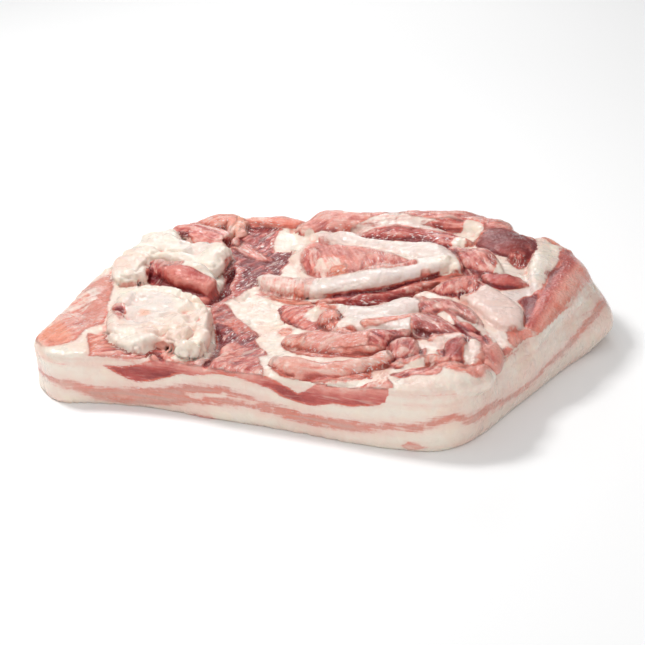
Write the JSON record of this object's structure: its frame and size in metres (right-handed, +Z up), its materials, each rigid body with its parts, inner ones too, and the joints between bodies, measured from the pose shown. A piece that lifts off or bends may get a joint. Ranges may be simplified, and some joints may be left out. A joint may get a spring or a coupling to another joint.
{
  "type": "pork belly slab",
  "caption": "Raw boneless slab of pork belly lying fat side down, layered lean and fat on its cut walls, with ragged straps and lobes of meat and fat over its upper face.",
  "frame": {"origin": "middle of the footprint's box, on the flat underside", "axes": "+X along the near cut face, +Y from the near cut face to the far one, +Z up through the slab's thickness"},
  "size_m": [0.3237, 0.2453, 0.0571],
  "materials": {
    "raw_pork": null
  },
  "bodies": {
    "root": {"pork_belly": "raw_pork"}
  },
  "joints": []
}
